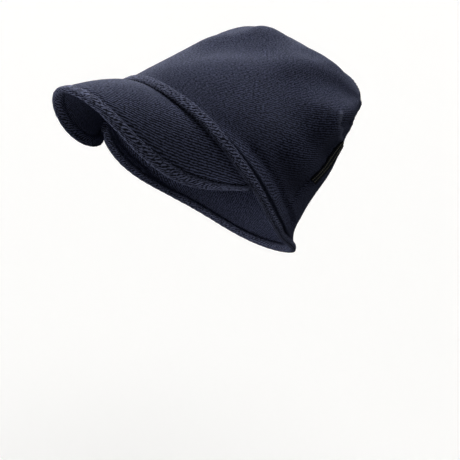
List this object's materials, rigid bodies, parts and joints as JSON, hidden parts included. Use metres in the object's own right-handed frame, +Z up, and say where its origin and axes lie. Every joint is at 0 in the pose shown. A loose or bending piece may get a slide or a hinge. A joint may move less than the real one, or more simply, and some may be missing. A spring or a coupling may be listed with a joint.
{
  "type": "peaked beanie hat",
  "caption": "Soft bag-shaped cotton twill beanie with a bound rim, a short arched bound peak in front and a blank sewn patch on the side seam, in its worn form.",
  "frame": {"origin": "middle of the rim opening, where the head goes in", "axes": "+Z up as worn, the peak towards -Y, the wearer's left towards +X; the crown is tipped back towards +Y"},
  "size_m": [0.1788, 0.2574, 0.1739],
  "materials": {
    "twill": "matte woven twill",
    "binding": "matte bias twill strip",
    "patch": "smooth dark woven label"
  },
  "bodies": {
    "root": {"crown_front": "twill", "crown_back": "twill", "peak": "twill", "rim_binding": "binding", "peak_binding": "binding", "patch": "patch"}
  },
  "joints": []
}
